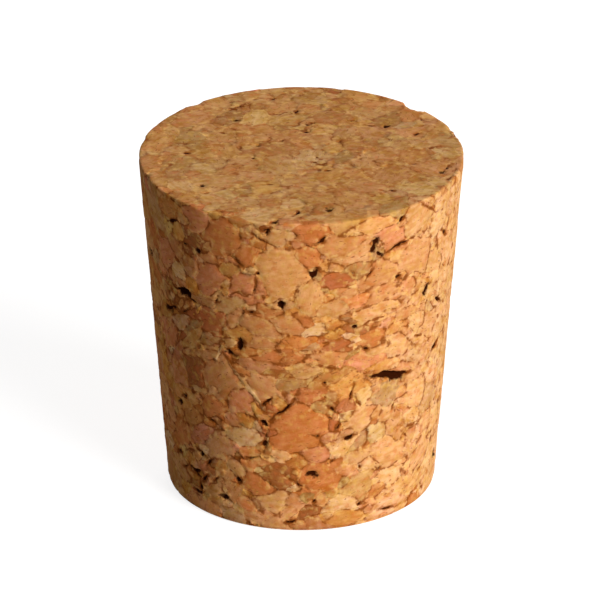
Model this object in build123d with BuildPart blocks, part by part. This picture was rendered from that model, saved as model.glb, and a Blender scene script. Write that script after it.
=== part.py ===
from build123d import *
import os
from math import atan, cos, radians, sin

# Tapered stopper of composition cork, moulded and ground in one piece.
# It stands on its narrow end, with the origin at the middle of that end and +Z up.

# Driving sizes of the body, in millimetres
top_diameter = 35.0
base_diameter = 29.0
height = 38.0
rim_edge_radius = 0.3
base_edge_radius = 0.5

# Open pores between the granules of the tapered side. Each row is one pore: its azimuth in
# degrees, from the front (-Y) towards +X, its height as a share of the body's height, its length
# and width in millimetres, and how far its long axis is turned up from level, in degrees.
side_pores = [
    (38.0, 0.465, 4.4, 1.1, -24),
    (27.0, 0.905, 2.8, 0.7, 80),
    (29.5, 0.875, 1.6, 0.6, -35),
    (54.0, 0.692, 1.8, 0.7, 60),
    (4.5, 0.842, 1.7, 0.7, 55),
    (-7.5, 0.732, 0.9, 0.8, 0),
    (20.0, 0.655, 0.9, 0.6, 10),
    (-12.0, 0.968, 1.1, 0.6, 20),
    (-24.0, 0.592, 1.5, 0.7, 80),
    (-28.5, 0.557, 1.7, 0.6, 10),
    (-15.0, 0.345, 0.9, 0.8, 0),
    (-14.5, 0.280, 1.3, 0.5, 75),
    (4.0, 0.180, 1.8, 0.7, 15),
    (19.0, 0.295, 0.9, 0.5, 30),
    (-27.5, 0.145, 0.9, 0.7, 40),
    (-49.0, 0.703, 2.4, 1.2, 8),
    (-60.0, 0.621, 2.3, 0.7, -12),
    (-40.0, 0.863, 1.3, 0.7, 5),
    (-57.5, 0.330, 1.2, 0.7, 0),
    (-46.0, 0.190, 1.3, 0.7, 25),
    (-50.0, 0.131, 2.6, 0.6, 4),
    (-34.5, 0.077, 1.6, 0.6, 8),
]
pore_depth_share = 0.5
groove_slenderness = 2.0

# The same kind of pore, scattered over the rest of the side
scattered_pores = 26
scatter_start = 78.0
scatter_end = 290.0
scatter_step = 137.5
scatter_lengths = (2.6, 1.1, 1.7, 1.3, 3.4, 0.9, 2.1)
scatter_tilts = (-28, 12, 70, -6, 35, -55, 5)
scatter_slenderness = 0.38
scatter_margin = 0.08

# Pores of the top face. Each row is a place as two shares of the top's radius, a length, a width
# and a turn from +X.
top_pores = [
    (0.17, -0.78, 1.1, 0.8, 20),
    (-0.40, 0.50, 1.2, 0.7, -40),
    (0.52, 0.41, 0.9, 0.6, 30),
    (-0.27, 0.14, 0.9, 0.6, 60),
    (0.86, -0.25, 1.1, 0.6, -60),
    (-0.60, -0.45, 0.9, 0.6, 10),
]

# Chips broken out of the top rim: azimuth in degrees, length along the rim, depth of the bite
rim_chips = [
    (135.0, 3.6, 0.75),
    (112.0, 1.8, 0.35),
    (-10.0, 2.2, 0.40),
    (0.0, 1.6, 0.30),
    (-72.0, 2.0, 0.35),
    (221.0, 2.4, 0.40),
]
chip_slope = 45.0

top_radius = top_diameter / 2
base_radius = base_diameter / 2
slope = atan((top_radius - base_radius) / height)


def radius_at(z):
    """Radius of the tapered side at height z."""
    return base_radius + (top_radius - base_radius) * z / height


def turned_plane(origin, level, out, turn):
    """Plane at origin, facing out, whose X axis is level turned by some degrees about out."""
    up = Vector(out).cross(Vector(level))
    along = Vector(level) * cos(radians(turn)) + up * sin(radians(turn))
    return Plane(origin, x_dir=along, z_dir=out)


def side_plane(azimuth, share, turn):
    """Plane lying on the tapered side at an azimuth and a share of the height."""
    angle = radians(azimuth)
    z = share * height
    radius = radius_at(z)
    origin = (radius * sin(angle), -radius * cos(angle), z)
    level = (cos(angle), sin(angle), 0)
    out = (cos(slope) * sin(angle), -cos(slope) * cos(angle), -sin(slope))
    return turned_plane(origin, level, out, turn)


def top_plane(across, along, turn):
    """Plane lying on the top face at two shares of its radius."""
    origin = (across * top_radius, along * top_radius, height)
    return turned_plane(origin, (1, 0, 0), (0, 0, 1), turn)


def bite_radius(length, depth):
    """Radius of the round cutter whose bite has this length and depth."""
    return (length * length / 4 + depth * depth) / (2 * depth)


def scatter():
    """Azimuth, height share, length, width and turn of each scattered pore."""
    span = scatter_end - scatter_start
    for index in range(scattered_pores):
        azimuth = scatter_start + (index * scatter_step) % span
        share = scatter_margin + (1 - 2 * scatter_margin) * (index + 0.5) / scattered_pores
        length = scatter_lengths[index % len(scatter_lengths)]
        tilt = scatter_tilts[index % len(scatter_tilts)]
        yield azimuth, share, length, scatter_slenderness * length, tilt


def pores():
    """The surface plane, the length and the width of every pore."""
    for azimuth, share, length, width, turn in side_pores + list(scatter()):
        yield side_plane(azimuth, share, turn), length, width
    for across, along, length, width, turn in top_pores:
        yield top_plane(across, along, turn), length, width


os.makedirs("parts", exist_ok=True)

with BuildPart() as stopper:
    with BuildSketch(Plane.XZ):
        with BuildLine():
            Polyline((0, 0), (base_radius, 0), (top_radius, height), (0, height), close=True)
        make_face()
    revolve(axis=Axis.Z)
    circles = stopper.edges().filter_by(GeomType.CIRCLE).sort_by(Axis.Z)
    fillet(circles[-1], rim_edge_radius)
    circles = stopper.edges().filter_by(GeomType.CIRCLE).sort_by(Axis.Z)
    fillet(circles[0], base_edge_radius)

    # A long pore is the bite of a ring that stands across the surface, a short one that of a ball
    for surface, length, width in pores():
        depth = pore_depth_share * width
        across = bite_radius(width, depth)
        along = bite_radius(length, depth)
        if length < groove_slenderness * width:
            with Locations(surface.offset(across - depth)):
                Sphere(across, mode=Mode.SUBTRACT)
        else:
            upright = surface.offset(along - depth)
            with Locations(Plane(upright.origin, x_dir=upright.x_dir, z_dir=upright.y_dir)):
                Torus(along - across, across, mode=Mode.SUBTRACT)

    # Each chip is the bite of a ball that comes in at the chip slope to the rim's corner
    for azimuth, length, depth in rim_chips:
        ball_radius = bite_radius(length, depth)
        angle = radians(azimuth)
        reach = top_radius + (ball_radius - depth) * cos(radians(chip_slope))
        centre_height = height + (ball_radius - depth) * sin(radians(chip_slope))
        with Locations((reach * sin(angle), -reach * cos(angle), centre_height)):
            Sphere(ball_radius, mode=Mode.SUBTRACT)

stopper.part.label = "stopper"
export_step(stopper.part, "parts/stopper.step")
print("volume in cubic centimetres:", round(stopper.part.volume / 1000, 3))
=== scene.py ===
from math import cos, pi, radians, sin

import bpy
import numpy as np
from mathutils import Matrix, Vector
from mathutils.bvhtree import BVHTree


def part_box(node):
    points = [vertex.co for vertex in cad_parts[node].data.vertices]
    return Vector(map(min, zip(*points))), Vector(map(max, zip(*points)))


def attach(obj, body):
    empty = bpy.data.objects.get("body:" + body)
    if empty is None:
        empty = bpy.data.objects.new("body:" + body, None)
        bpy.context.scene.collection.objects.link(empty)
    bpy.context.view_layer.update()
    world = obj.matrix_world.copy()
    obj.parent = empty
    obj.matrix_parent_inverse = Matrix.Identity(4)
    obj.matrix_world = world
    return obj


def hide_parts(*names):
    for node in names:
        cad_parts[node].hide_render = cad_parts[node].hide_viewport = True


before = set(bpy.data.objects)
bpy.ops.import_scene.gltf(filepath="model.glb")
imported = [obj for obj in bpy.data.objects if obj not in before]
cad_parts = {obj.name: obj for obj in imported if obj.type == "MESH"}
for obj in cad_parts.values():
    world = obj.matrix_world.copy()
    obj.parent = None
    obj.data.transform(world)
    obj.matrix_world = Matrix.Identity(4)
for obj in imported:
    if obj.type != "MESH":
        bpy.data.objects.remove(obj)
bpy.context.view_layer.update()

# A skin of pressed and ground cork granules over the CAD's tapered body. Lengths are in
# millimetres where no other unit is named, and become metres when the mesh is made.
MM = 0.001

# Net of the skin: rings of points from the top's middle, over the side, to the base's middle
DISC_RINGS = 37
RING_POINTS = 6 * DISC_RINGS
ROW_STEP = 0.48
EDGE_STEPS = (0.10, 0.22)
EDGE_BLEND = 0.35

# Rounds of refining: reach from a gap's outline, longest edge left whole, widest half gap treated
REFININGS = [(0.35, 0.30, 9.0), (0.16, 0.16, 0.24)]
SIDE_PORE_FROM = 0.05
TOP_PORE_FROM = 0.15
RIM_FACING = 0.2

# Rays that read the CAD surface, and the shares of the height where they read the side's taper
PROBE = 2.0
RAYS_ROUND = 24
RAY_START = 100.0
LOW_SHARE = 0.25
HIGH_SHARE = 0.75

# A spot whose normal rises or falls by more than this is on the top or the base
FLAT_FACING = 0.9
ON_PLANE = 1e-6

# Colours of the cork granules, as they look in even daylight, and in the same order how often
# each comes by chance
TINTS = {
    "cream": (222, 173, 113),
    "pale": (212, 155, 95),
    "tan": (201, 137, 79),
    "straw": (215, 153, 87),
    "golden": (204, 140, 68),
    "orange": (198, 121, 62),
    "salmon": (206, 131, 81),
    "olive": (177, 129, 73),
    "brown": (156, 93, 48),
    "rust": (178, 102, 56),
}
TINT_SHARES = (0.07, 0.20, 0.27, 0.06, 0.09, 0.13, 0.11, 0.05, 0.02, 0.01)

# How much lighter or darker a drawn or a chance granule may be, and how far a chance one's
# channels may part
DRAWN_TONES = (0.95, 1.05)
CHANCE_TONES = (0.84, 1.14)
CHANCE_CASTS = ((0.96, 0.96, 0.76), (1.04, 1.06, 1.18))

# The top is plainer than the side: its colour, how much of the tints' contrast it keeps, how
# strong its seams are, and how crumbly its granules are at least
TOP_TINT = (192, 140, 80)
TOP_TINT_CONTRAST = 0.5
TOP_SEAMS = 0.65
TOP_LEAST_CRUMBLY = 0.75

# Painted highlight: the side is painted paler towards the right of the picture, where the key lamp
# lights it: azimuths where that starts and is full, and where, out of the picture, it starts to
# fade and is gone
PAINTED_HIGHLIGHT_FROM = 12
PAINTED_HIGHLIGHT_FULL_AT = 75
PAINTED_HIGHLIGHT_FADES_FROM = 95
PAINTED_HIGHLIGHT_GONE_AT = 170
PAINTED_HIGHLIGHT_TINT = (227, 180, 121)
PAINTED_HIGHLIGHT = 0.70
DRAWN_PAINTED_HIGHLIGHT = 0.50

# Colours that the material lays over the granules' own, and the two casts that multiply them
REDDER = (205, 106, 55)
YELLOWER = (220, 170, 80)
SPECK = (118, 56, 8)
CRUMB_LINE = (118, 66, 20)
# Painted highlight: a pale rim along granule outlines, where their edges would catch the light
RIM_HIGHLIGHT = (232, 188, 126)
# Painted shade: a darker band round granule outlines, where shade falls between granules
OUTLINE_SHADE = (156, 88, 36)
SEAM = (118, 56, 4)
# Pores and gaps: their dark brown lining, deepened by painted shade that grows with their depth
PORE_LINING_AND_SHADE = (50, 16, 1)
DARK_CAST = (0.75, 0.56, 0.16, 1.0)
PALE_CAST = (1.19, 1.26, 1.70, 1.0)
BUMP_STRENGTH = 0.30
BUMP_REACH = 0.10
SPECULAR_LEVEL = 0.03

# The set: floor, its width in metres, world, and lamps: azimuth, elevation, strength, softness
WHITE = (1.0, 1.0, 1.0, 1.0)
FLOOR_WIDTH = 3.0
FLOOR_GLOW = 0.83
FLOOR_COLOUR = (0.4, 0.4, 0.4, 1.0)
FLOOR_DROP = 0.02
WORLD_FILL = 0.145
WORLD_COLOUR = (1.0, 0.95, 0.90, 1.0)
LAMPS = {
    "key": (47, 22.5, 4.3, 35),
    "back": (178, 12, 2.1, 40),
}

# The camera: elevation, distance and width seen there in metres, and its aim, in millimetres to
# the right of the body's middle and above it
VIEW_ELEVATION = 26.0
VIEW_DISTANCE = 1.05
VIEW_WIDTH = 0.0664
AIM_RIGHT = 0.72
AIM_UP = 0.56
SENSOR_WIDTH = 36.0
NEAREST_SEEN = 0.1
FARTHEST_SEEN = 10.0

# Granules that show in front: azimuth in degrees from the front towards +X, height, length, width,
# turn of the long axis up from level in degrees, tint. Heights are those on a body 38 mm high.
DRAWN_HEIGHT = 38.0
SIDE_GRANULES = [
    (-6.8, 31.7, 6.6, 6, 12, "straw"), (2.2, 29.1, 4.6, 3, 78, "straw"),
    (-20, 29.4, 4.6, 3.2, 15, "salmon"), (-16, 25, 5, 2.6, 0, "tan"),
    (-18.5, 33.6, 3, 2.6, 60, "orange"), (-13, 26.9, 3.2, 1.8, 10, "orange"),
    (2, 33.6, 3.4, 2, -35, "orange"), (4.5, 32, 1.8, 1, -60, "olive"),
    (0.5, 26, 2.4, 1.3, -30, "orange"), (-3.5, 18.2, 3.4, 1.6, 10, "olive"),
    (13.5, 30.8, 3.6, 1.7, 6, "rust"), (35, 34.6, 3.2, 2.8, 10, "salmon"),
    (27, 36.9, 6.5, 1.7, 2, "straw"), (47, 36.2, 4.4, 3.6, 20, "pale"),
    (58, 34, 3.2, 2.4, -10, "cream"), (47, 31.4, 5.8, 3.6, -8, "tan"),
    (-9, 36, 2.8, 1.8, 30, "pale"), (5, 24.8, 2.4, 1.5, 15, "cream"),
    (28, 26.3, 5, 1.5, 3, "pale"), (13, 27.3, 3.2, 1.6, 4, "pale"),
    (-5, 21.6, 3.4, 1.5, 5, "orange"), (27, 23.1, 3.2, 1.7, 4, "orange"),
    (14, 22.7, 3.2, 0.8, 0, "rust"), (-1.8, 12.8, 7.2, 5.2, 15, "orange"),
    (9, 15.2, 3.2, 1.5, -20, "olive"), (13.2, 13.2, 3, 1.2, 80, "rust"),
    (-23.5, 11, 4.8, 2.3, 5, "cream"), (-29, 7.2, 3.6, 1.4, -58, "pale"),
    (38, 8.2, 4.8, 3.4, -5, "pale"), (51, 9.3, 2.4, 1.3, 0, "rust"),
    (39, 5.4, 4.2, 1.8, 4, "cream"), (26, 8.4, 3.4, 1.7, 5, "pale"),
    (17.5, 3.1, 3.8, 2.1, 5, "cream"), (37, 13.2, 3.2, 1.8, 20, "pale"),
    (-11.5, 3.6, 3.6, 2.4, 10, "pale"), (-32, 17.4, 4.8, 4.8, 40, "tan"),
    (-46, 17.6, 4.6, 3.2, 60, "brown"), (-40, 36.6, 3.6, 2.6, 10, "salmon"),
    (-30, 35.2, 4.6, 4.4, 0, "orange"), (-36, 29.8, 4.6, 2.6, 35, "salmon"),
    (44, 28.3, 4.6, 1, -3, "salmon"), (-14, 17.6, 4, 2.4, -30, "tan"),
    (-21, 17.2, 6.4, 0.5, -48, "cream"), (-25.5, 15.4, 4, 2.6, -45, "salmon"),
    (-42, 33.3, 3.6, 2, 20, "brown"), (-25.5, 32.5, 1.9, 1.1, 20, "salmon"),
    (-13, 37, 1.9, 0.9, 0, "brown"), (-18.5, 27, 1.4, 1.4, 40, "cream"),
    (-10, 21.6, 4.2, 1.3, 2, "orange"), (11, 21.3, 4.6, 1.6, -8, "tan"),
    (-16, 23.2, 4, 1.8, 4, "tan"), (28.5, 7.6, 3, 1.8, -20, "cream"),
    (33.5, 21.5, 3.4, 1.6, 10, "pale"), (20, 33.6, 5.4, 1.9, 2, "pale"),
    (21, 31.6, 2, 2.6, 60, "olive"), (31, 28.6, 4.6, 2.2, 4, "tan"),
    (52, 36.9, 3.8, 0.7, -35, "rust"), (58, 29.6, 3.4, 2.2, -30, "pale"),
    (44, 24.8, 3.6, 1.3, -8, "tan"), (20, 1.3, 5.4, 1.3, 3, "golden"),
    (44, 17.9, 3.4, 1.2, -20, "salmon"), (-36, 16, 3, 1.2, 25, "pale"),
    (-12, 12, 1, 2.6, 85, "rust"), (-6, 25.6, 4.4, 2.2, 5, "tan"),
    (24, 13.4, 3.4, 2.6, 30, "pale"), (30, 30.6, 4.4, 3.2, 5, "tan"),
    (14, 34.8, 4, 2.6, -5, "tan"), (-22, 23.8, 3.4, 2, 10, "golden"),
    (-60, 30.4, 4, 3, 30, "salmon"), (-62, 20.6, 3.6, 3, 50, "salmon"),
    (-35, 24.6, 4, 2, 5, "rust"), (38, 21.2, 4.2, 2.2, -8, "pale"), (58, 22, 4, 2.6, -20, "tan"),
    (52, 14, 4.4, 3, -10, "pale"), (60, 6, 3.6, 3, 30, "tan"), (3, 2.4, 2.6, 1.4, 30, "brown"),
    (-20, 5.4, 3.8, 2.4, -10, "orange"), (6, 9.4, 3.2, 1.8, 10, "salmon"),
    (-38, 13.8, 3.6, 2.2, 15, "orange"),
]
TOP_GRANULES = [
    (-4.4, -15, 5.2, 2.2, 12, "cream"), (-12.6, -7.6, 4.4, 2.4, -50, "cream"),
    (-9.6, -11, 3.4, 2, -30, "pale"), (-11.5, 9, 4.4, 3, 30, "salmon"),
    (7, -8, 4, 3, -20, "salmon"), (3, 9.5, 4.4, 2.6, 10, "rust"),
    (12, -0.5, 4, 2.6, 80, "orange"), (7, 10.5, 3.6, 2.6, -30, "pale"),
    (-9, -6.5, 4.6, 3.4, 20, "pale"), (0, -7, 4.4, 3.2, -10, "tan"), (-13, -2, 4, 3, 70, "olive"),
]

# Small dark hollows between granules: azimuth or x, height or y, length, width, turn
SIDE_GAPS = [
    (-53, 34.8, 2.2, 0.4, 20), (-46.5, 32.9, 1.3, 0.35, 0), (-24, 32.6, 1.8, 0.3, -35),
    (-16, 31.5, 0.6, 0.5, 0), (-15, 35.8, 2.6, 0.3, -25), (-22, 28.8, 2.6, 0.25, 12),
    (-2.2, 29.6, 1, 0.22, 70), (7, 35.7, 1.6, 0.4, 25), (38.3, 36.7, 0.9, 0.6, 45),
    (38, 33.6, 3.4, 0.35, 8), (25.5, 30.9, 1.3, 0.35, 60), (19, 31.4, 0.8, 0.35, -50),
    (38, 29.8, 0.9, 0.5, 0), (64, 32.3, 2, 0.3, -35), (63.5, 24.3, 1.6, 0.6, -35),
    (65, 18.6, 1.3, 0.8, 30), (13.5, 24.9, 0.8, 0.3, 20), (28, 25.1, 2.4, 0.2, 8),
    (25.2, 21.9, 0.7, 0.5, 0), (51, 21.3, 1.2, 0.3, -25), (9, 18.3, 0.6, 0.4, -20),
    (20, 16.6, 1.8, 0.35, 82), (23, 15.4, 0.9, 0.25, -60), (-6.5, 15.3, 4.4, 0.34, 50),
    (37, 17.75, 5, 0.95, -14), (19.2, 11.3, 1.3, 0.55, 15), (52, 36.7, 2.6, 0.26, -35),
    (-12.8, 37.1, 1.9, 0.36, 0), (-20.5, 8.7, 3, 0.28, 12), (-17, 29.9, 1.4, 0.28, 85),
    (-14.6, 11.4, 2.4, 0.3, 82), (-7.5, 27.9, 0.9, 0.4, 80), (12.5, 15, 2, 0.34, -40),
    (15, 12.9, 1.6, 0.3, 80), (11.5, 13.8, 0.6, 0.4, 0), (10, 20.3, 2.4, 0.24, -12),
    (51.5, 10.4, 2, 0.26, -15), (47.5, 9.5, 1, 0.26, -60), (-52, 26.9, 2.2, 0.5, 10),
    (-45, 26.2, 1.4, 0.4, -20), (-57, 23.9, 1.6, 0.4, 20), (-46, 7.4, 1.3, 0.3, -20),
    (-41.5, 6.6, 1.1, 0.4, 50), (-50, 4.7, 2, 0.35, -25), (-44.5, 4.2, 1.5, 0.4, 60),
    (-47.5, 3.2, 1.2, 0.4, 75), (-38.5, 5, 0.9, 0.3, 40), (-57, 4.6, 1.2, 0.35, 25),
    (-13.5, 15.9, 1.3, 0.4, 30), (-20, 13.6, 1.6, 0.25, -25), (-54, 13.7, 0.9, 0.4, 45),
    (-54.5, 21.5, 0.8, 0.4, 20), (-38, 11.9, 0.8, 0.3, -20), (14.5, 12.8, 2.4, 0.25, 75),
    (5.8, 12, 0.7, 0.35, 30), (-1.5, 6, 1.9, 0.3, -32), (13, 8.5, 0.9, 0.3, 60),
    (25, 7.3, 0.5, 0.4, 0), (33.8, 6.6, 0.6, 0.4, 0), (-13.5, 5.9, 0.7, 0.3, -35),
    (6, 3.6, 0.6, 0.5, 60), (25, 2.8, 0.7, 0.4, 30), (39, 1.1, 2.2, 0.35, -12),
    (-53, 6.9, 1.2, 0.3, 20), (-50.5, 2.3, 1.7, 0.4, 5), (-62, 6, 1.2, 0.4, 30),
    (-49.5, 24.6, 1.6, 0.35, 35), (-33, 27.4, 0.9, 0.3, 75), (-18.5, 26.6, 1, 0.3, 5),
    (39.5, 14.1, 0.9, 0.35, 70), (-5, 1, 1.4, 0.4, 30),
]
TOP_GAPS = [
    (-0.5, -14.5, 1.6, 0.5, 70), (-2.8, -16.6, 1.3, 0.5, 40), (-16.6, -5, 1, 0.4, 70),
    (-6.6, 12.2, 0.9, 0.4, 20), (-8.4, 5.5, 0.7, 0.4, -30), (-3, 14.2, 0.9, 0.4, 10),
    (-2.8, 10.3, 0.7, 0.35, 50), (1.3, 8, 0.8, 0.4, -20), (0.5, 5.7, 0.7, 0.4, 30),
    (5.3, 8.5, 0.8, 0.4, 0), (-2, 3.5, 0.6, 0.4, 60), (1.5, -2, 0.8, 0.4, -40),
    (2.8, -4, 0.6, 0.4, 10), (6.3, -1, 0.8, 0.35, 30), (-5.2, -1, 0.7, 0.35, -10),
    (15.7, -6, 0.7, 0.4, 80), (-3.3, -7.5, 0.8, 0.3, 20), (12.5, 5.2, 0.9, 0.4, 45),
    (-12.1, 0.3, 0.8, 0.35, 0), (-8.6, 9.6, 0.9, 0.3, 30), (-7.4, 11.6, 0.8, 0.3, -40),
    (-5, 14, 0.7, 0.3, 20), (-0.4, 10.9, 1, 0.32, 70), (0.6, 7.6, 0.9, 0.32, -30),
    (1.8, -0.6, 1.1, 0.32, -60), (2.1, -2.6, 0.9, 0.34, 10), (5.6, 0.4, 0.8, 0.28, 20),
    (7.4, 7.4, 0.9, 0.3, -10), (13, 9, 0.9, 0.3, -50), (15.6, -3.4, 1.3, 0.32, 70),
    (14, 1.6, 0.8, 0.3, 40), (-12.4, 2.8, 0.9, 0.3, 0), (-14, -2.8, 0.8, 0.28, 60),
    (-10, -9.6, 0.7, 0.28, 30), (9.5, -9, 0.8, 0.28, -20),
]

# Crumbly places, where only small granules lie with darker seams: azimuth or x, height or y, reach.
# Then the largest half size there, the seams' gain, and the crumbliness at which it is full.
SIDE_CRUMBS = [
    (-47, 5.6, 3.6), (-53, 25.8, 2.6), (-29, 21.6, 2), (-41, 12.6, 2.2), (-17, 14.6, 1.2),
]
TOP_CRUMBS = [
    (-6.5, 12, 1.8), (-1.5, 10.5, 1.6), (0.5, 6.8, 1.5), (2.2, -3.2, 1.4), (-3, 3.6, 1.3),
]
CRUMB_SIZE = 0.6
CRUMB_SEAMS = 0.4
CRUMB_EASE = 0.4

# Granules that fill the rest: half size and number of tries, from large to small
GRADES = [(2.1, 200), (1.6, 900), (1.2, 2600), (0.85, 6000), (0.58, 9000), (0.38, 6000)]
CROWDING = 0.86
ELONGATION = (1.1, 2.3)

# How the rest lie in front: azimuth, height, turn of the long axis. Elsewhere they lie level.
# LAY is how far their turns scatter round that, in degrees.
LAYS = [
    (-60, 30, -35), (-45, 30, -35), (-30, 34, 8), (-35, 25, 35), (-55, 20, 35), (-25, 16, -42),
    (-42, 12, 20), (-38, 6, 30), (-12, 22, 3), (10, 24, 5), (28, 24, 4), (45, 30, -10),
    (60, 33, -35), (56, 22, -28), (52, 12, -20), (32, 12, 22), (18, 8, 22), (4, 4, 20),
    (-15, 4, -10),
]
LAY_REACH = 6.0
LAY = 14.0

# Between these heights the chance granules are longer for their width and none is larger
BAND_LOW = 18.5
BAND_HIGH = 28.0
BAND_STRETCH = 2.0
BAND_SIZE = 1.4

# A granule is many-sided: how far its facets reach, how unevenly they stand, how crisp its
# corners are, and its depth for its size
FACETS = 6
FACET_REACH = (0.78, 1.22)
FACET_JITTER = 0.35
FACET_SHARPNESS = 24
GRANULE_DEPTH = 0.9

# From 0 to 1: how much a granule shows the crumbs inside it
SIDE_CRUMBLY = 0.2
TOP_CRUMBLY = 0.5
CHANCE_CRUMBLY = (0.3, 1.0)

# Gaps laid by chance where the photo shows nothing: number of tries, lengths and widths
SPARE_GAPS = 120
SPARE_LENGTHS = (0.6, 2.2)
SPARE_WIDTHS = (0.25, 0.55)
SEED = 21

# How ragged the granules' outlines are: wave length and reach of each wobble
WOBBLES = [(2.4, 0.09), (1.0, 0.05), (0.45, 0.03)]
WOBBLE_WAVES = 5

# Search for the nearest patches: size of a block of points, and how far past it patches count.
# A cut stays at least SLIVER of an edge away from the edge's ends.
BLOCK = 3.0
SEARCH_MARGIN = 0.8
SEARCH_SHARE = 2.2
SLIVER = 0.06

# Seams are as strong as a chance that two patch numbers give, and stronger round drawn granules
PATCH_OFFSET = 100000
PATCH_FACTORS = (73856093, 19349663, 2654435761)
CHANCE_SHIFT = 11
CHANCE_STEPS = 0xFFFF
DRAWN_SEAM = 0.55
SEAM_POWER = 1.2

# Relief of the ground surface. A pair is where something starts and where it is full.
PLAIN_DEPTH = 0.02
LEVEL_SPREAD = 0.05
TILT = 0.035
GROOVE_DEPTH = 0.08
GROOVE_WIDTH = 0.20
GROOVED_SEAMS = (0.25, 1.0)
GAP_DEPTH = (0.25, 0.50)
GAP_SLOPE = (0.0, 0.16)
SINKING_GAPS = (0.05, 0.35)
# Painted shade in the gaps: how much darker a gap is painted, the half widths at which that starts
# and is full, and how far inside its outline it is full, as a share of its half width
GAP_SHADE = 0.16
SHADED_GAPS = (0.06, 0.20)
SHADE_SLOPE = 0.6
FOOT = (0.0, 0.05)
LEAST_HEIGHT = 0.002

# How deep the CAD surface may lie under the plain body and be no pore: everywhere, and how much
# more near the two edges, with the distances where that starts to fade and is gone
LEAST_DENT = 0.02
EDGE_DENT = 0.16
EDGE_REACH = (0.15, 0.75)

# Each granule has its own slice of the noise that streaks it
SLICE_STEP = 7.31
SLICE_RANGE = 97.0

# Free room round each part of the unrolled skin
UV_MARGIN = 1.0


# ---------------- small helpers

def ease(value, start, end):
    """0 below start, 1 above end, smooth between."""
    share = np.clip((value - start) / (end - start), 0, 1)
    return share * share * (3 - 2 * share)


def linear(colour):
    """A colour of 0 to 255 a channel as Blender's linear values."""
    share = np.array(colour) / 255
    return np.where(share <= 0.04045, share / 12.92, ((share + 0.055) / 1.055) ** 2.4)


def rgba(colour):
    """The same with full opacity, for a node's socket."""
    return (*linear(colour), 1.0)


# ---------------- the body as the frame gives it

def cad_tree():
    """The CAD stopper's surface, for rays, in millimetres."""
    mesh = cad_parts["stopper"].data
    points = [vertex.co / MM for vertex in mesh.vertices]
    return BVHTree.FromPolygons(points, [tuple(face.vertices) for face in mesh.polygons])


def side_radius(tree, z):
    """Radius of the CAD side at a height: the median of rays from all round."""
    found = []
    for step in range(RAYS_ROUND):
        angle = radians(360 / RAYS_ROUND * step)
        out = Vector((sin(angle), -cos(angle), 0))
        hit = tree.ray_cast(out * RAY_START + Vector((0, 0, z)), -out)[0]
        found.append((hit.x * hit.x + hit.y * hit.y) ** 0.5)
    return float(np.median(found))


cad_surface = cad_tree()
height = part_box("stopper")[1].z / MM
low_radius = side_radius(cad_surface, LOW_SHARE * height)
high_radius = side_radius(cad_surface, HIGH_SHARE * height)
spread = (high_radius - low_radius) / ((HIGH_SHARE - LOW_SHARE) * height)
base_radius = low_radius - LOW_SHARE * height * spread
top_radius = high_radius + (1 - HIGH_SHARE) * height * spread
SIDE_OUT = np.array((1.0, -spread)) / np.hypot(1.0, spread)


def radius_at(z):
    """Radius of the tapered side at height z."""
    return base_radius + spread * z


def skin_normals(points):
    """Outward normals of the tapered body, turned evenly round its two edges."""
    x, y, z = points.T
    radial = np.hypot(x, y)
    at_top = z > height - ON_PLANE
    at_base = z < ON_PLANE
    from_rim = np.where(at_top, top_radius - radial, height - z)
    from_foot = np.where(at_base, base_radius - radial, z)
    to_top = 0.5 * np.clip(1 - from_rim / EDGE_BLEND, 0, 1)
    to_base = 0.5 * np.clip(1 - from_foot / EDGE_BLEND, 0, 1)
    up = np.where(at_top, 1 - to_top, to_top)
    down = np.where(at_base, 1 - to_base, to_base)
    up = np.where(at_base, 0, up)
    down = np.where(at_top, 0, down)
    side = 1 - up - down
    outward = side * SIDE_OUT[0]
    upward = side * SIDE_OUT[1] + up - down
    safe = np.maximum(radial, 1e-9)
    normals = np.stack((outward * x / safe, outward * y / safe, upward), axis=1)
    return normals / np.linalg.norm(normals, axis=1)[:, None]


def cad_depths(points, normals):
    """How far below the plain tapered body the CAD surface lies, along each normal."""
    depths = np.zeros(len(points))
    for index, (point, normal) in enumerate(zip(points, normals)):
        out = Vector(normal)
        hit = cad_surface.ray_cast(Vector(point) + out * PROBE, -out, 2 * PROBE)
        depths[index] = PROBE if hit[3] is None else hit[3]
    return depths - PROBE


# ---------------- the net of the skin

def ring_list():
    """Radius, height and number of points of every ring, from the top's middle to the base's."""
    disc = [(step / DISC_RINGS, max(1, 6 * step)) for step in range(DISC_RINGS)]
    rings = [(top_radius * share, height, count) for share, count in disc]
    rings += [(top_radius - step, height, RING_POINTS) for step in reversed(EDGE_STEPS)]
    rows = int(round(height / ROW_STEP))
    levels = [height - step for step in (0.0, *EDGE_STEPS)]
    levels += [height * (1 - row / rows) for row in range(1, rows)]
    levels += [*reversed(EDGE_STEPS), 0.0]
    rings += [(radius_at(z), z, RING_POINTS) for z in levels]
    rings += [(base_radius - step, 0.0, RING_POINTS) for step in EDGE_STEPS]
    rings += [(base_radius * share, 0.0, count) for share, count in reversed(disc)]
    return rings


def stitch(first, first_phase, second, second_phase):
    """Triangles between two neighbouring rings of point numbers, joined in order of angle."""
    triangles = []
    i = j = 0
    while i < len(first) or j < len(second):
        next_first = (i + 1 + first_phase) / len(first) if len(first) > 1 else 2.0
        next_second = (j + 1 + second_phase) / len(second) if len(second) > 1 else 2.0
        a = first[i % len(first)]
        b = second[j % len(second)]
        if j < len(second) and (next_second <= next_first or i >= len(first)) and len(second) > 1:
            triangles.append((a, b, second[(j + 1) % len(second)]))
            j += 1
        elif i < len(first) and len(first) > 1:
            triangles.append((a, b, first[(i + 1) % len(first)]))
            i += 1
        else:
            break
    return triangles


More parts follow.
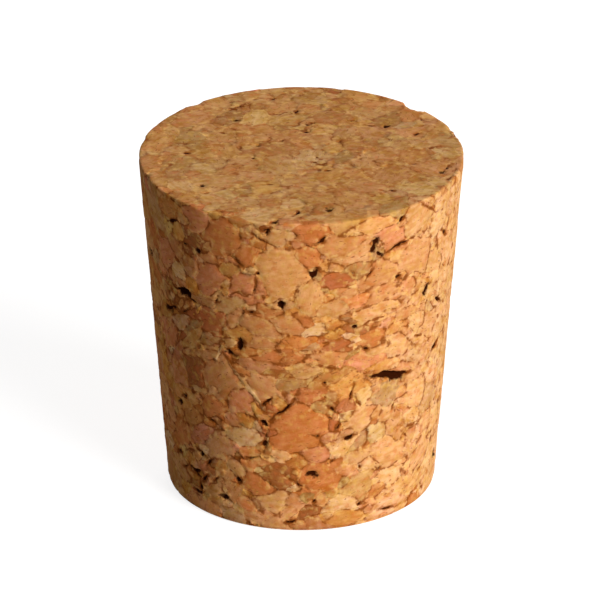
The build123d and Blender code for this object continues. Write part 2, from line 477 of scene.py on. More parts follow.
def body_net():
    """Points and triangles of the plain tapered body, with sharp edges."""
    points = []
    triangles = []
    before = None
    for number, (radius, z, count) in enumerate(ring_list()):
        phase = 0.5 * (number % 2)
        start = len(points)
        for index in range(count):
            angle = 2 * pi * (index + phase) / count
            points.append((radius * sin(angle), -radius * cos(angle), z))
        ring = range(start, start + count)
        if before:
            triangles += stitch(before[0], before[1], ring, phase)
        before = (ring, phase)
    return np.array(points), np.array(triangles)


def edges_of(triangles):
    """The net's edges as sorted pairs of points, and each triangle's three edge numbers."""
    pairs = np.stack((triangles, np.roll(triangles, -1, axis=1)), axis=2)
    pairs = np.sort(pairs.reshape(-1, 2), axis=1)
    edges, numbers = np.unique(pairs, axis=0, return_inverse=True)
    return edges, numbers.reshape(-1, 3)


def turned(triangles, split):
    """The corners of all triangles and the cuts after them, from each corner in turn."""
    for first in range(3):
        order = [first, (first + 1) % 3, (first + 2) % 3]
        yield *triangles[:, order].T, *split[:, order].T


def refine(points, triangles, marked, edges, sides):
    """Halve the marked edges, and split the triangles at them to match."""
    middles = np.full(len(edges), -1)
    middles[marked] = len(points) + np.arange(marked.sum())
    points = np.concatenate((points, points[edges[marked]].mean(axis=1)))
    split = middles[sides]
    count = (split >= 0).sum(axis=1)
    parts = [triangles[count == 0]]
    for a, b, c, p, q, r in turned(triangles, split):
        one = (count == 1) & (p >= 0)
        parts += [np.stack(t, axis=1)[one] for t in ((a, p, c), (p, b, c))]
        two = (count == 2) & (r < 0)
        parts += [np.stack(t, axis=1)[two] for t in ((p, b, q), (a, p, q), (a, q, c))]
    whole = count == 3
    a, b, c, p, q, r = next(turned(triangles, split))
    parts += [np.stack(t, axis=1)[whole] for t in ((a, p, r), (p, b, q), (r, q, c), (p, q, r))]
    return points, np.concatenate(parts)


# ---------------- granules and gaps

def side_spot(azimuth, z):
    """Place, outward normal, level direction and upward direction on the side."""
    angle = radians(azimuth)
    across = np.array((sin(angle), -cos(angle), 0.0))
    place = across * radius_at(z) + (0, 0, z)
    normal = across * SIDE_OUT[0] + (0, 0, SIDE_OUT[1])
    level = np.array((cos(angle), sin(angle), 0.0))
    return place, normal, level, np.cross(normal, level)


def drawn_spot(azimuth, z):
    """The spot on the side of a row whose height is that on a body as high as the drawn one."""
    return side_spot(azimuth, z / DRAWN_HEIGHT * height)


def flat_spot(x, y, z, facing):
    """The same on the top, which faces 1, or the base, which faces -1. Level is +X."""
    place = np.array((x, y, z))
    normal = np.array((0.0, 0.0, facing))
    return place, normal, np.array((1.0, 0.0, 0.0)), np.array((0.0, facing, 0.0))


def top_spot(x, y):
    return flat_spot(x, y, height, 1.0)


def base_spot(x, y):
    return flat_spot(x, y, 0.0, -1.0)


def on_top(spot):
    return spot[1][2] > FLAT_FACING


def on_side(spot):
    return abs(spot[1][2]) < FLAT_FACING


class Field:
    """A set of flat many-sided patches on the skin: granules, or the gaps between them."""

    def __init__(self):
        self.rows = []

    def add(self, spot, length, width, turn, rng, tint=0, crumbly=0):
        """One patch at a spot, with its long axis turned up from level by some degrees."""
        place, normal, level, up = spot
        angle = radians(turn)
        along = level * cos(angle) + up * sin(angle)
        across = np.cross(normal, along)
        jitter = rng.uniform(-FACET_JITTER, FACET_JITTER, FACETS)
        steps = (np.arange(FACETS) + jitter) * 2 * pi / FACETS
        reach = rng.uniform(*FACET_REACH, FACETS)
        half = (length / 2, width / 2, GRANULE_DEPTH * (length + width) / 4)
        self.rows.append((place, along, across, normal, half, steps, reach, tint, crumbly))

    def close(self):
        """Turn the rows into arrays, once all patches are in."""
        columns = list(zip(*self.rows))
        self.place, self.along, self.across, self.normal, self.half = map(np.array, columns[:5])
        steps, reach, self.tint, self.crumbly = map(np.array, columns[5:])
        self.size = np.sqrt(self.half[:, 0] * self.half[:, 1])
        self.cosines = np.cos(steps) / reach
        self.sines = np.sin(steps) / reach

    def local(self, points, which):
        """Offsets of points from patches along each patch's own three axes."""
        offset = points - self.place[which]
        axes = (self.along, self.across, self.normal)
        return np.stack([(offset * axis[which]).sum(axis=-1) for axis in axes], axis=-1)

    def distance(self, points, which):
        """Distance of points from patches: 1 on a patch's drawn outline."""
        u, v, w = np.moveaxis(self.local(points, which) / self.half[which], -1, 0)
        facets = u[..., None] * self.cosines[which] + v[..., None] * self.sines[which]
        powers = np.maximum(facets, 0) ** FACET_SHARPNESS
        return np.hypot(powers.sum(axis=-1) ** (1 / FACET_SHARPNESS), w)


def random_spot(rng):
    """A spot anywhere on the skin, with even chances by area."""
    side_area = pi * (top_radius + base_radius) * height
    top_area = pi * top_radius**2
    base_area = pi * base_radius**2
    pick = rng.uniform(0, side_area + top_area + base_area)
    angle = rng.uniform(0, 2 * pi)
    share = rng.uniform(0, 1)
    if pick < side_area:
        return side_spot(np.degrees(angle), share * height)
    if pick < side_area + top_area:
        radius = top_radius * share**0.5
        return top_spot(radius * cos(angle), radius * sin(angle))
    radius = base_radius * share**0.5
    return base_spot(radius * cos(angle), radius * sin(angle))


def tint_of(name, spot, rng, drawn=False):
    """A granule's colour: its tint, a little lighter or darker, quieter on top, painted paler right
    as a highlight.
    """
    colour = linear(TINTS[name])
    if drawn:
        colour = colour * rng.uniform(*DRAWN_TONES)
    else:
        colour = colour * rng.uniform(*CHANCE_TONES) * rng.uniform(*CHANCE_CASTS)
    if on_top(spot):
        colour = linear(TOP_TINT) + (colour - linear(TINTS["tan"])) * TOP_TINT_CONTRAST
    if on_side(spot):
        azimuth = np.degrees(np.arctan2(spot[0][0], -spot[0][1]))
        # Painted highlight: the side is mixed towards a pale tint where the key lamp lights it, on
        # the right
        pale = DRAWN_PAINTED_HIGHLIGHT if drawn else PAINTED_HIGHLIGHT
        pale *= ease(azimuth, PAINTED_HIGHLIGHT_FROM, PAINTED_HIGHLIGHT_FULL_AT)
        pale *= 1 - ease(azimuth, PAINTED_HIGHLIGHT_FADES_FROM, PAINTED_HIGHLIGHT_GONE_AT)
        colour = colour + (linear(PAINTED_HIGHLIGHT_TINT) - colour) * pale
    return colour


def lay_at(place):
    """How the granules lie at a place on the side: as at the nearest of the drawn places."""
    spots = [drawn_spot(*row[:2])[0] for row in LAYS]
    apart = np.linalg.norm(np.array(spots) - place, axis=1)
    return LAYS[apart.argmin()][2] if apart.min() < LAY_REACH else 0


def crumbliness(points):
    """1 in the middle of a crumbly place, 0 outside them all."""
    places = [(drawn_spot(azimuth, z)[0], reach) for azimuth, z, reach in SIDE_CRUMBS]
    places += [(top_spot(x, y)[0], reach) for x, y, reach in TOP_CRUMBS]
    shares = [1 - np.linalg.norm(points - place, axis=-1) / reach for place, reach in places]
    return np.clip(np.max(shares, axis=0), 0, 1)


def has_room(spot, size, taken):
    """Whether a chance granule of this half size fits between those that are taken."""
    near = np.array(taken)
    apart = np.linalg.norm(near[:, :3] - spot[0], axis=1)
    if (apart < CROWDING * (near[:, 3] + size)).any():
        return False
    return size <= CRUMB_SIZE or crumbliness(spot[0]) <= 0


def in_band(spot):
    """Whether a spot on the side lies between the heights of the longer granules."""
    return BAND_LOW < spot[0][2] / height * DRAWN_HEIGHT < BAND_HIGH


def make_granules(rng):
    """The granules drawn in front, then ever smaller ones wherever there is room."""
    granules = Field()
    taken = []
    drawn = [(drawn_spot(*row[:2]), *row[2:], SIDE_CRUMBLY) for row in SIDE_GRANULES]
    drawn += [(top_spot(*row[:2]), *row[2:], TOP_CRUMBLY) for row in TOP_GRANULES]
    for spot, length, width, turn, name, crumbly in drawn:
        colour = tint_of(name, spot, rng, True)
        granules.add(spot, length, width, turn, rng, colour, crumbly)
        taken.append((*spot[0], (length + width) / 4))
    names = list(TINTS)
    shares = np.array(TINT_SHARES) / sum(TINT_SHARES)
    for size, tries in GRADES:
        for _ in range(tries):
            spot = random_spot(rng)
            if not has_room(spot, size, taken):
                continue
            stretch = rng.uniform(*ELONGATION) ** 0.5
            turn = rng.uniform(0, 180)
            if on_side(spot):
                turn = rng.normal(lay_at(spot[0]), LAY)
                if in_band(spot):
                    if size > BAND_SIZE:
                        continue
                    stretch *= BAND_STRETCH**0.5
            name = names[rng.choice(len(names), p=shares)]
            colour = tint_of(name, spot, rng)
            crumbly = rng.uniform(*CHANCE_CRUMBLY)
            if on_top(spot):
                crumbly = max(crumbly, TOP_LEAST_CRUMBLY)
            granules.add(spot, 2 * size * stretch, 2 * size / stretch, turn, rng, colour, crumbly)
            taken.append((*spot[0], size))
    granules.close()
    return granules


def make_gaps(rng):
    """The dark hollows drawn in front and on the top, and more like them elsewhere."""
    gaps = Field()
    for azimuth, z, length, width, turn in SIDE_GAPS:
        gaps.add(drawn_spot(azimuth, z), length, width, turn, rng)
    for x, y, length, width, turn in TOP_GAPS:
        gaps.add(top_spot(x, y), length, width, turn, rng)
    for _ in range(SPARE_GAPS):
        spot = random_spot(rng)
        in_front = on_side(spot) and spot[0][1] < 0
        length = rng.uniform(*SPARE_LENGTHS)
        width = rng.uniform(*SPARE_WIDTHS)
        turn = rng.normal(0, 2 * LAY)
        if not in_front and not on_top(spot):
            gaps.add(spot, length, width, turn, rng)
    gaps.close()
    return gaps


def wobbled(points):
    """Points moved a little by the same waves on every call, which makes outlines ragged."""
    rng = np.random.default_rng(SEED + 1)
    moved = points.copy()
    for wave_length, reach in WOBBLES:
        for _ in range(WOBBLE_WAVES):
            direction = rng.normal(size=3)
            direction *= 2 * pi / wave_length / np.linalg.norm(direction)
            push = rng.normal(size=3)
            push *= reach / np.linalg.norm(push)
            moved += np.sin(points @ direction + rng.uniform(0, 2 * pi))[:, None] * push
    return moved


def nearest_two(field, points):
    """The nearest and second nearest patch of every point, with their distances."""
    cells = np.floor(points / BLOCK).astype(int)
    groups = np.unique(cells, axis=0, return_inverse=True)[1].ravel()
    order = np.argsort(groups, kind="stable")
    bounds = np.flatnonzero(np.diff(groups[order])) + 1
    numbers = np.zeros((len(points), 2), int)
    distances = np.zeros((len(points), 2))
    for members in np.split(order, bounds):
        here = points[members]
        middle = here.mean(axis=0)
        radius = np.linalg.norm(here - middle, axis=1).max()
        apart = np.linalg.norm(field.place - middle, axis=1)
        reach = radius + SEARCH_MARGIN + SEARCH_SHARE * field.half[:, :2].max(axis=1)
        close = np.flatnonzero(apart < reach)
        if len(close) < 2:
            close = np.argsort(apart)[:2]
        table = field.distance(here[:, None, :], close[None, :])
        two = np.argpartition(table, 1, axis=1)[:, :2]
        values = np.take_along_axis(table, two, axis=1)
        swap = values[:, 0] > values[:, 1]
        two[swap] = two[swap][:, ::-1]
        values[swap] = values[swap][:, ::-1]
        numbers[members] = close[two]
        distances[members] = values
    return numbers, distances


# ---------------- cutting the net at outlines

def crossing(before, after):
    """Where a value that runs from before to after along an edge passes 0, as a share of it."""
    return before / np.where(before == after, 1, before - after)


def outline_share(granules, gaps, labels, points, edges):
    """Where along each edge the outline between its two ends' patches runs, from 0 to 1."""
    first, second = labels[edges].T
    start, end = points[edges[:, 0]], points[edges[:, 1]]
    shares = np.full(len(edges), 0.5)
    plain = (first >= 0) & (second >= 0)
    a, b = first[plain], second[plain]
    before = granules.distance(start[plain], a) - granules.distance(start[plain], b)
    after = granules.distance(end[plain], a) - granules.distance(end[plain], b)
    shares[plain] = crossing(before, after)
    gap = np.where(first < 0, -1 - first, -1 - second)[~plain]
    before = gaps.distance(start[~plain], gap) - 1
    after = gaps.distance(end[~plain], gap) - 1
    shares[~plain] = crossing(before, after)
    return np.clip(shares, SLIVER, 1 - SLIVER)


def cut_at_outlines(points, triangles, labels, shares_of):
    """Split triangles where patches meet, so that each new triangle lies in one patch.

    Returns points, triangles, each triangle's patch, and for each new point the two patches it
    lies between (a point where three meet names two of them)."""
    edges, sides = edges_of(triangles)
    crossed = labels[edges[:, 0]] != labels[edges[:, 1]]
    shares = shares_of(edges[crossed])
    ends = points[edges[crossed]]
    new = ends[:, 0] + (ends[:, 1] - ends[:, 0]) * shares[:, None]
    between = labels[edges[crossed]]
    number = np.full(len(edges), -1)
    number[crossed] = len(points) + np.arange(len(new))
    split = number[sides]
    count = (split >= 0).sum(axis=1)
    parts = [triangles[count == 0]]
    owners = [labels[triangles[count == 0][:, 0]]]
    for a, b, c, p, q, r in turned(triangles, split):
        lone = (count == 2) & (q < 0)
        for corner, triangle in ((a, (a, p, r)), (b, (p, b, c)), (b, (p, c, r))):
            parts.append(np.stack(triangle, axis=1)[lone])
            owners.append(labels[corner[lone]])
    meet = count == 3
    centre = len(points) + len(new) + np.arange(meet.sum())
    for a, _, _, after, _, before in turned(triangles[meet], split[meet]):
        parts += [np.stack((a, after, centre), axis=1), np.stack((a, centre, before), axis=1)]
        owners += [labels[a], labels[a]]
    middles = new[split[meet] - len(points)].mean(axis=1)
    pairs = np.concatenate((between, labels[triangles[meet][:, :2]]))
    points = np.concatenate((points, new, middles))
    return points, np.concatenate(parts), np.concatenate(owners), pairs


def seam_strength(pairs):
    """From 0 to 1: by chance for each two granules that meet, stronger round the drawn ones."""
    low = np.minimum(*pairs.T).astype(np.int64) + PATCH_OFFSET
    high = np.maximum(*pairs.T).astype(np.int64) + PATCH_OFFSET
    low_factor, high_factor, mixing_factor = PATCH_FACTORS
    mixed = ((low * low_factor) ^ (high * high_factor)) * mixing_factor
    chance = (mixed >> CHANCE_SHIFT & CHANCE_STEPS) / CHANCE_STEPS
    drawn = ((pairs >= 0) & (pairs < len(SIDE_GRANULES))).any(axis=1)
    return np.where(drawn, DRAWN_SEAM + (1 - DRAWN_SEAM) * chance, chance**SEAM_POWER)


# ---------------- the skin's mesh

def refine_where_small(points, triangles, gaps):
    """A finer net in and around the gaps and the CAD pores."""
    for reach, longest, widest in REFININGS:
        edges, sides = edges_of(triangles)
        ends = points[edges]
        middles = ends.mean(axis=1)
        lengths = np.linalg.norm(ends[:, 0] - ends[:, 1], axis=1)
        numbers, distances = nearest_two(gaps, wobbled(middles))
        half_width = gaps.half[numbers[:, 0], 1]
        outline = (distances[:, 0] - 1) * half_width
        near_gap = (np.abs(outline) < reach) & (half_width < widest)
        normals = skin_normals(middles)
        pore_from = np.where(normals[:, 2] > RIM_FACING, TOP_PORE_FROM, SIDE_PORE_FROM)
        in_pore = cad_depths(middles, normals) > pore_from
        marked = (near_gap | in_pore) & (lengths > longest)
        points, triangles = refine(points, triangles, marked, edges, sides)
    return points, triangles


def allowed_dent(points):
    """How far the CAD surface may lie below the plain body at some points and be no pore."""
    radial = np.hypot(points[:, 0], points[:, 1])
    to_rim = np.hypot(radial - top_radius, points[:, 2] - height)
    to_foot = np.hypot(radial - base_radius, points[:, 2])
    return LEAST_DENT + EDGE_DENT * (1 - ease(np.minimum(to_rim, to_foot), *EDGE_REACH))


def ragged_depths(points, normals):
    """The CAD's depths, read at points that wobble along the surface, so pores are ragged too."""
    shift = wobbled(points) - points
    shift -= (shift * normals).sum(axis=1)[:, None] * normals
    return cad_depths(points + shift, normals)


def make_skin():
    """All arrays of the finished skin: points, triangles, and what the material reads."""
    rng = np.random.default_rng(SEED)
    granules = make_granules(rng)
    gaps = make_gaps(rng)
    points, triangles = body_net()
    points, triangles = refine_where_small(points, triangles, gaps)

    moved = wobbled(points)
    numbers, distances = nearest_two(granules, moved)
    gap_numbers, gap_distances = nearest_two(gaps, moved)
    in_gap = gap_distances[:, 0] < 1
    labels = np.where(in_gap, -1 - gap_numbers[:, 0], numbers[:, 0])

    def shares_of(edges):
        """Where the cuts lie on some edges of this net."""
        return outline_share(granules, gaps, labels, moved, edges)

    old = len(points)
    points, triangles, owners, pairs = cut_at_outlines(points, triangles, labels, shares_of)
    normals = skin_normals(points)

    # Distance to the nearest outline, and how strong the seam there is
    sizes = granules.size[numbers]
    seam = (distances[:, 1] - distances[:, 0]) / (1 / sizes).sum(axis=1)
    gap_half = gaps.half[gap_numbers[:, 0], 1]
    to_gap = np.abs(gap_distances[:, 0] - 1) * gap_half
    edge = np.zeros(len(points))
    edge[:old] = np.where(in_gap, to_gap, np.minimum(seam, to_gap))
    strength = np.ones(len(points))
    strength[:old] = np.where(to_gap < seam, 1.0, seam_strength(numbers))
    strength[old:] = np.where((pairs < 0).any(axis=1), 1.0, seam_strength(pairs))
    strength[normals[:, 2] > FLAT_FACING] *= TOP_SEAMS
    strength += CRUMB_SEAMS * ease(crumbliness(points), 0.0, CRUMB_EASE)

    # The level and tilt of each granule's own face, and each gap's depth
    level = rng.uniform(0, LEVEL_SPREAD, len(granules.size))
    tilt = rng.uniform(-TILT, TILT, (len(granules.size), 2))
    gap_depth = rng.uniform(*GAP_DEPTH, len(gaps.size)) * ease(gaps.half[:, 1], *SINKING_GAPS)

    def level_at(places, which):
        """Depth of a granule's own slightly tilted face at some places."""
        share = np.clip(granules.local(places, which) / granules.half[which], -1, 1)[:, :2]
        return level[which] + np.maximum(TILT + (tilt[which] * share).sum(axis=1), 0)

    # Relief: a cut takes the mean level of the granules it lies between, a gap has none
    relief = np.full(len(points), PLAIN_DEPTH)
    relief[:old] += level_at(moved, numbers[:, 0])
    first = np.where(pairs[:, 0] < 0, pairs[:, 1], pairs[:, 0])
    second = np.where(pairs[:, 1] < 0, pairs[:, 0], pairs[:, 1])
    between = wobbled(points[old:])
    levels = [level_at(between, np.maximum(which, 0)) for which in (first, second)]
    relief[old:] += (levels[0] + levels[1]) / 2
    sunk = np.where(in_gap, gap_depth[gap_numbers[:, 0]], 0) * ease(edge[:old], *GAP_SLOPE)
    relief[:old] += sunk
    groove = np.exp(-((edge / GROOVE_WIDTH) ** 2))
    relief += GROOVE_DEPTH * ease(strength, *GROOVED_SEAMS) * groove

    # The skin follows the CAD's edges, pores and chips, and the relief lies below that
    allowed = allowed_dent(points)
    pores = np.maximum(ragged_depths(points, normals) - allowed, 0)
    depths = np.minimum(cad_depths(points, normals), allowed) + pores
    depths += relief * ease(points[:, 2], *FOOT)
    places = points - normals * depths[:, None]
    places[:, 2] = np.maximum(places[:, 2], LEAST_HEIGHT)

    # Painted shade: how dark the colour is painted at each point, from the depth of its pore or gap
    shade = GAP_SHADE * ease(gap_half, *SHADED_GAPS)
    pit = pores.copy()
    pit[:old] += np.where(in_gap, shade, 0) * ease(edge[:old], 0, SHADE_SLOPE * gap_half) + sunk
    return {
        "points": places, "plain": points, "triangles": triangles, "owners": owners,
        "granules": granules, "edge": edge, "seam": strength, "pit": pit,
    }


def bake_uv(skin):
    """Where each triangle's corners lie on the unrolled skin: two half sides and two discs."""
    corners = skin["plain"][skin["triangles"]]
    middle = corners.mean(axis=1)
    x, y, z = np.moveaxis(corners, -1, 0)
    around = np.arctan2(x, -y)
    centre = np.arctan2(middle[:, 0], -middle[:, 1])
    around = centre[:, None] + (around - centre[:, None] + pi) % (2 * pi) - pi
    flat_normal = np.cross(corners[:, 1] - corners[:, 0], corners[:, 2] - corners[:, 0])
    facing = flat_normal[:, 2] / np.linalg.norm(flat_normal, axis=1)
    wide = pi * top_radius
    front = np.abs(centre) < pi / 2
    u = np.where(front[:, None], around, around - pi * np.sign(centre)[:, None]) * top_radius
    u = u + wide / 2 + UV_MARGIN
    v = z + UV_MARGIN + np.where(front, 0, height + 2 * UV_MARGIN)[:, None]
    top = (facing > FLAT_FACING)[:, None]
    base = (facing < -FLAT_FACING)[:, None]
    column = wide + 3 * UV_MARGIN
    u = np.where(top, x + top_radius + column, u)
    v = np.where(top, y + top_radius + UV_MARGIN, v)
    u = np.where(base, x + base_radius + column, u)
    v = np.where(base, y + base_radius + 2 * top_radius + 3 * UV_MARGIN, v)
    whole = column + 2 * top_radius + 2 * UV_MARGIN
    return np.stack((u, v), axis=-1) / whole


def make_object(skin):
    """The Blender object of the skin, with the attributes that its material reads."""
    granules = skin["granules"]
    mesh = bpy.data.meshes.new("cork_skin")
    mesh.from_pydata((skin["points"] * MM).tolist(), [], skin["triangles"].tolist())
    mesh.shade_smooth()
    owners = skin["owners"]
    real = np.maximum(owners, 0)
    tint = np.where((owners >= 0)[:, None], granules.tint[real], linear(TINTS["brown"]))
    crumbly = np.where(owners >= 0, granules.crumbly[real], 1.0)
    tint = np.concatenate((tint, crumbly[:, None]), axis=1)
    corners = skin["plain"][skin["triangles"]]
    grain = granules.local(corners, real[:, None].repeat(3, axis=1))
    grain[..., 2] = ((real * SLICE_STEP) % SLICE_RANGE)[:, None]

    def attribute(name, kind, domain, field, values):
        """One named layer of values on the mesh."""
        layer = mesh.attributes.new(name, kind, domain)
        layer.data.foreach_set(field, np.ascontiguousarray(values, dtype=np.float32).ravel())

    attribute("tint", "FLOAT_COLOR", "CORNER", "color", tint.repeat(3, axis=0))
    attribute("grain", "FLOAT_VECTOR", "CORNER", "vector", grain)
    for name in ("edge", "seam", "pit"):
        attribute(name, "FLOAT", "POINT", "value", skin[name])
    layer = mesh.uv_layers.new(name="OFBake")
    layer.uv.foreach_set("vector", bake_uv(skin).astype(np.float32).ravel())
    piece = bpy.data.objects.new("cork_body", mesh)
    bpy.context.scene.collection.objects.link(piece)
    return piece


# ---------------- materials

class Nodes:
    """Short names for building a node tree."""

    def __init__(self, tree):
        self.tree = tree
        tree.nodes.clear()

    def wire(self, value, socket):
        if isinstance(value, bpy.types.NodeSocket):
            self.tree.links.new(value, socket)
        else:
            socket.default_value = value

    def make(self, kind, inputs=(), **settings):
        node = self.tree.nodes.new("ShaderNode" + kind)
        for name, value in settings.items():
            setattr(node, name, value)
        for name, value in dict(inputs).items():
            self.wire(value, node.inputs[name])
        return node

    def maths(self, operation, *values):
        node = self.make("Math", operation=operation)
        for value, socket in zip(values, node.inputs):
            self.wire(value, socket)
        return node.outputs[0]

    def chain(self, operation, *values):
        result = values[0]
        for value in values[1:]:
            result = self.maths(operation, result, value)
        return result

    def total(self, *values):
        return self.chain("ADD", *values)

    def product(self, *values):
        return self.chain("MULTIPLY", *values)

    def vectors(self, operation, *values, **named):
        inputs = {**dict(enumerate(values)), **named}
        return self.make("VectorMath", inputs, operation=operation).outputs["Vector"]

    def attribute(self, name, output="Fac"):
        return self.make("Attribute", attribute_name=name).outputs[output]

    def noise(self, where, scale, detail=2.0, roughness=0.5):
        inputs = {"Vector": where, "Scale": scale, "Detail": detail, "Roughness": roughness}
        return self.make("TexNoise", inputs).outputs["Fac"]

    def ramp(self, value, start, end, low=0.0, high=1.0):
        inputs = {"Value": value, "From Min": start, "From Max": end, "To Min": low, "To Max": high}
        return self.make("MapRange", inputs, interpolation_type="SMOOTHSTEP").outputs["Result"]

    def mix(self, share, first, second, blend="MIX"):
        node = self.make("Mix", data_type="RGBA", blend_type=blend)
        self.wire(share, node.inputs["Factor"])
        self.wire(first, node.inputs[6])
        self.wire(second, node.inputs[7])
        return node.outputs[2]


def crumb_cells(nodes, place):
    """Crumbs inside a granule, cells of bent space flatter than wide: own value, way to border."""
    bend = nodes.make("TexNoise", {"Vector": place, "Scale": 0.6, "Detail": 1.0}).outputs["Color"]
    bend = nodes.vectors("SCALE", nodes.vectors("SUBTRACT", bend, (0.5, 0.5, 0.5)), Scale=1.3)
    bent = nodes.vectors("MULTIPLY", nodes.vectors("ADD", place, bend), (1.0, 1.0, 1.7))
    inputs = {"Vector": bent, "Scale": 0.75}
    cells = nodes.make("TexVoronoi", inputs)
    borders = nodes.make("TexVoronoi", inputs, feature="DISTANCE_TO_EDGE")
    parts = nodes.make("SeparateColor", {"Color": cells.outputs["Color"]})
    return parts.outputs["Red"], borders.outputs["Distance"]


def seam_line(nodes, edge, seam, mottle, broken):
    """How much a dark seam shows: wider and darker where it is strong, and broken in places."""
    kept = nodes.total(seam, nodes.ramp(broken, 0.3, 0.7, -0.50, 0.50))
    kept = nodes.ramp(kept, 0.50, 1.15, 0.0, 0.78)
    width = nodes.total(nodes.product(kept, 0.09), nodes.ramp(mottle, 0.3, 0.7, 0.0, 0.08))
    line = nodes.maths("DIVIDE", edge, nodes.maths("MAXIMUM", width, 0.03))
    return nodes.product(nodes.ramp(line, 0.0, 1.6, 1.0, 0.0), kept)


def cork_material():
    """Ground cork: tinted granules with streaks and specks, dark seams, and pores in a dark brown
    that is partly their lining and partly painted shade.
    """
    material = bpy.data.materials.new("cork_granules")
    material.use_nodes = True
    nodes = Nodes(material.node_tree)
    place = nodes.make("TexCoord").outputs["Object"]
    place = nodes.vectors("SCALE", place, Scale=1 / MM)
    grain = nodes.vectors("MULTIPLY", nodes.attribute("grain", "Vector"), (0.6, 1.7, 1.0))
    crumbly = nodes.attribute("tint", "Alpha")
    edge, seam, pit = (nodes.attribute(name) for name in ("edge", "seam", "pit"))

    streaks = nodes.noise(grain, 1.3, 1.0)
    dots = nodes.noise(grain, 2.6, 2.0, 0.55)
    drift = nodes.noise(place, 0.35)
    broken = nodes.noise(place, 1.3)
    hue = nodes.noise(place, 1.3, 2.0, 0.6)
    mottle = nodes.noise(place, 1.8, 1.0)
    fine = nodes.noise(place, 5.0, 2.0, 0.6)
    crumb, crumb_border = crumb_cells(nodes, place)

    # Darker parts are also redder, paler parts yellower
    tone = nodes.total(
        nodes.ramp(streaks, 0.3, 0.7, -0.16, 0.16),
        0.5,
        nodes.ramp(mottle, 0.3, 0.7, -0.10, 0.10),
        nodes.ramp(fine, 0.3, 0.7, -0.03, 0.03),
        nodes.ramp(drift, 0.3, 0.7, 0.10, -0.10),
        nodes.product(nodes.ramp(crumb, 0.0, 1.0, -0.20, 0.20), crumbly),
    )
    cast = nodes.mix(tone, DARK_CAST, PALE_CAST)
    colour = nodes.mix(1.0, nodes.attribute("tint", "Color"), cast, "MULTIPLY")

    # Lines round the crumbs, then along a granule's outline a painted highlight, a pale rim, inside
    # a painted shade, a darker halo
    crumb_line = nodes.product(
        nodes.ramp(crumb_border, 0.0, 0.09, 1.0, 0.0),
        nodes.product(nodes.ramp(broken, 0.50, 0.70, 0.0, 0.6), crumbly),
    )
    rim_highlight = nodes.product(
        nodes.ramp(edge, 0.02, 0.14),
        nodes.ramp(edge, 0.16, 0.40, 1.0, 0.0),
        nodes.ramp(broken, 0.36, 0.50, 0.28, 0.0),
    )
    outline_shade = nodes.product(
        nodes.ramp(edge, 0.0, 0.42, 1.0, 0.0),
        nodes.ramp(broken, 0.35, 0.65, 0.0, 0.42),
    )
    line = seam_line(nodes, edge, seam, mottle, broken)
    ragged = nodes.ramp(mottle, 0.3, 0.7, -0.08, 0.08)
    ragged = nodes.product(ragged, nodes.ramp(pit, 0.0, 0.06))
    layers = [
        (nodes.ramp(hue, 0.50, 0.72, 0.0, 0.38), REDDER),
        (nodes.ramp(hue, 0.28, 0.50, 0.38, 0.0), YELLOWER),
        (nodes.ramp(drift, 0.50, 0.75, 0.0, 0.25), TINTS["olive"]),
        (nodes.ramp(dots, 0.63, 0.72, 0.0, 0.7), SPECK),
        (crumb_line, CRUMB_LINE),
        (rim_highlight, RIM_HIGHLIGHT),
        (outline_shade, OUTLINE_SHADE),
        (line, SEAM),
        # dark lining and painted shade in pores and gaps, darker where they are deeper
        (nodes.ramp(nodes.total(pit, ragged), 0.02, 0.24), PORE_LINING_AND_SHADE),
    ]
    for share, paint in layers:
        colour = nodes.mix(share, colour, rgba(paint))

    relief = nodes.total(
        nodes.product(fine, 0.5),
        nodes.product(mottle, 0.5),
        nodes.product(streaks, 0.4),
        nodes.product(line, -0.6),
    )
    bump_inputs = {"Strength": BUMP_STRENGTH, "Distance": BUMP_REACH * MM, "Height": relief}
    shader = nodes.make("BsdfPrincipled", {
        "Base Color": colour,
        "Roughness": nodes.ramp(fine, 0.2, 0.8, 0.80, 0.95),
        "Normal": nodes.make("Bump", bump_inputs).outputs["Normal"],
        "Specular IOR Level": SPECULAR_LEVEL,
    })
    output = nodes.make("OutputMaterial")
    nodes.wire(shader.outputs["BSDF"], output.inputs["Surface"])
    return material


def seen_light(nodes):
    """1 for rays that see a surface directly, in a mirror or through glass, else 0."""
    rays = nodes.make("LightPath")
    names = ("Is Camera Ray", "Is Glossy Ray", "Is Transmission Ray")
    return nodes.chain("MAXIMUM", *(rays.outputs[name] for name in names))


def either(nodes, share, first, second):
    """The mix of two shaders: the first at share 0, the second at 1."""
    mix = nodes.make("MixShader")
    for value, socket in zip((share, first.outputs[0], second.outputs[0]), mix.inputs):
        nodes.wire(value, socket)
    return mix


# ---------------- the set

def make_floor():
    """A white floor that keeps the shadow, clear from below."""
    mesh = bpy.data.meshes.new("floor")
    half = FLOOR_WIDTH / 2
    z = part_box("stopper")[0].z - FLOOR_DROP * MM
    corners = [(-half, -half, z), (half, -half, z), (half, half, z), (-half, half, z)]
    mesh.from_pydata(corners, [], [(0, 1, 2, 3)])
    floor = bpy.data.objects.new("floor", mesh)
    bpy.context.scene.collection.objects.link(floor)
    material = bpy.data.materials.new("white_floor")
    material.use_nodes = True
    nodes = Nodes(material.node_tree)
    matt = nodes.make("BsdfDiffuse", {"Color": FLOOR_COLOUR})
    glow = nodes.make("Emission", {"Color": WHITE})
    nodes.wire(nodes.product(seen_light(nodes), FLOOR_GLOW), glow.inputs["Strength"])
    both = nodes.make("AddShader")
    nodes.wire(matt.outputs[0], both.inputs[0])
    nodes.wire(glow.outputs[0], both.inputs[1])
    clear = nodes.make("BsdfTransparent")
    from_below = nodes.make("NewGeometry").outputs["Backfacing"]
    output = nodes.make("OutputMaterial")
    nodes.wire(either(nodes, from_below, both, clear).outputs[0], output.inputs["Surface"])
    mesh.materials.append(material)


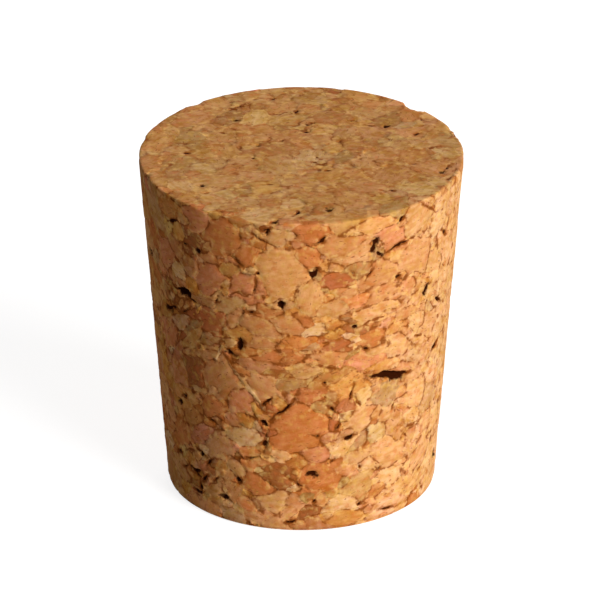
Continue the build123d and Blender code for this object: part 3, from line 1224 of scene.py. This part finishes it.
def make_world():
    """White wherever it is seen, and a dim even fill on everything else."""
    world = bpy.data.worlds.new("studio")
    bpy.context.scene.world = world
    world.use_nodes = True
    nodes = Nodes(world.node_tree)
    seen = nodes.make("Background", {"Color": WHITE, "Strength": 1.0})
    fill = nodes.make("Background", {"Color": WORLD_COLOUR, "Strength": WORLD_FILL})
    output = nodes.make("OutputWorld")
    nodes.wire(either(nodes, seen_light(nodes), fill, seen).outputs[0], output.inputs["Surface"])


def direction(azimuth, elevation):
    """Unit vector towards a place round the object. Azimuth 0 is the front, 90 is +X."""
    around, up = radians(azimuth), radians(elevation)
    return Vector((sin(around) * cos(up), -cos(around) * cos(up), sin(up)))


def turned_object(name, data, rotation):
    """An object of a lamp or a camera, linked to the scene and turned."""
    holder = bpy.data.objects.new(name, data)
    holder.rotation_mode = "QUATERNION"
    holder.rotation_quaternion = rotation
    bpy.context.scene.collection.objects.link(holder)
    return holder


def make_sun(name, azimuth, elevation, strength, spread_angle):
    """A broad distant white lamp, as soft as a large window."""
    lamp = bpy.data.lights.new(name, "SUN")
    lamp.energy = strength
    lamp.angle = radians(spread_angle)
    turned_object(name, lamp, direction(azimuth, elevation).to_track_quat("Z", "Y"))


def make_camera():
    """A long lens that looks down on the front."""
    camera = bpy.data.cameras.new("camera")
    camera.sensor_width = SENSOR_WIDTH
    camera.lens = SENSOR_WIDTH * VIEW_DISTANCE / VIEW_WIDTH
    camera.clip_start = NEAREST_SEEN
    camera.clip_end = FARTHEST_SEEN
    back = direction(0, VIEW_ELEVATION)
    right = Vector((1, 0, 0))
    low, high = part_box("stopper")
    aim = (low + high) / 2 + (right * AIM_RIGHT + back.cross(right) * AIM_UP) * MM
    holder = turned_object("camera", camera, (-back).to_track_quat("-Z", "Y"))
    holder.location = aim + back * VIEW_DISTANCE
    bpy.context.scene.camera = holder


skin = make_skin()
body = make_object(skin)
body.data.materials.append(cork_material())
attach(body, "root")
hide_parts("stopper")

make_floor()
make_world()
for name, (azimuth, elevation, strength, spread_angle) in LAMPS.items():
    make_sun(name, azimuth, elevation, strength, spread_angle)
make_camera()
bpy.context.scene.view_settings.view_transform = "Standard"
